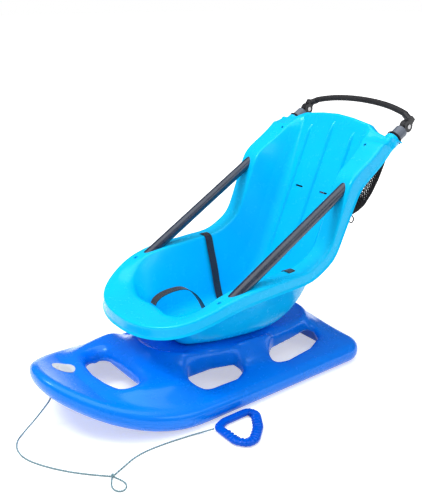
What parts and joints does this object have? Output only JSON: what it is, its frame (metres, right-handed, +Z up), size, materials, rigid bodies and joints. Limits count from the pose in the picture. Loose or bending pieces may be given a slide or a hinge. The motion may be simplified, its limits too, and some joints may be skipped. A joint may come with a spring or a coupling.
{
  "type": "baby sled",
  "caption": "Baby sled with a moulded hull, a bucket seat with lap belt, push tubes with a tilting push bar, a net bag and a tow rope with handle.",
  "frame": {"origin": "on the floor under the middle of the sled's bounding box, without the tow rope and its handle", "axes": "+Z up, -Y toward the nose, +X to the child's left; mirror plane x = 0; +Y is the longest extent"},
  "size_m": [0.633, 1.2226, 0.7424],
  "materials": {
    "hull_blue": "glossy moulded",
    "seat_cyan": "glossy moulded",
    "tube_charcoal": "satin",
    "collar_grey": "satin",
    "black_plastic": "satin",
    "foam_black": "foam",
    "webbing_black": "woven",
    "net_black": "mesh",
    "rope_teal": "twisted cord",
    "handle_blue": "moulded",
    "steel": "satin"
  },
  "bodies": {
    "sled": {"hull": "hull_blue", "seat_shell": "seat_cyan", "push_tube_left": "tube_charcoal", "push_tube_right": "tube_charcoal", "tube_ring_left": "black_plastic", "tube_ring_right": "black_plastic", "tube_collar_left": "collar_grey", "tube_collar_right": "collar_grey", "hub_fixed_left": "black_plastic", "hub_fixed_right": "black_plastic", "crotch_strap": "webbing_black", "waist_strap_left": "webbing_black", "waist_strap_right": "webbing_black", "harness_buckle": "black_plastic", "net_bag": "net_black", "bag_loop_left": "net_black", "bag_loop_right": "net_black", "seat_screw_1": "steel", "seat_screw_2": "steel", "seat_screw_3": "steel", "seat_screw_4": "steel", "tow_rope_front": "rope_teal", "tow_rope_loop": "rope_teal", "tow_rope_rear": "rope_teal", "tow_knot": "rope_teal", "tow_handle": "handle_blue"},
    "push_handle": {"hub_fork_left": "black_plastic", "hub_fork_right": "black_plastic", "hub_pin_left": "steel", "hub_pin_right": "steel", "push_bar": "tube_charcoal", "bar_grip": "foam_black"}
  },
  "joints": [
    {"name": "push_handle_tilt", "type": "hinge", "parent": "sled", "child": "push_handle", "pos_m": [0, 0.51219, 0.67222], "axis": [1, 0, 0], "range_deg": [-70, 45]}
  ]
}
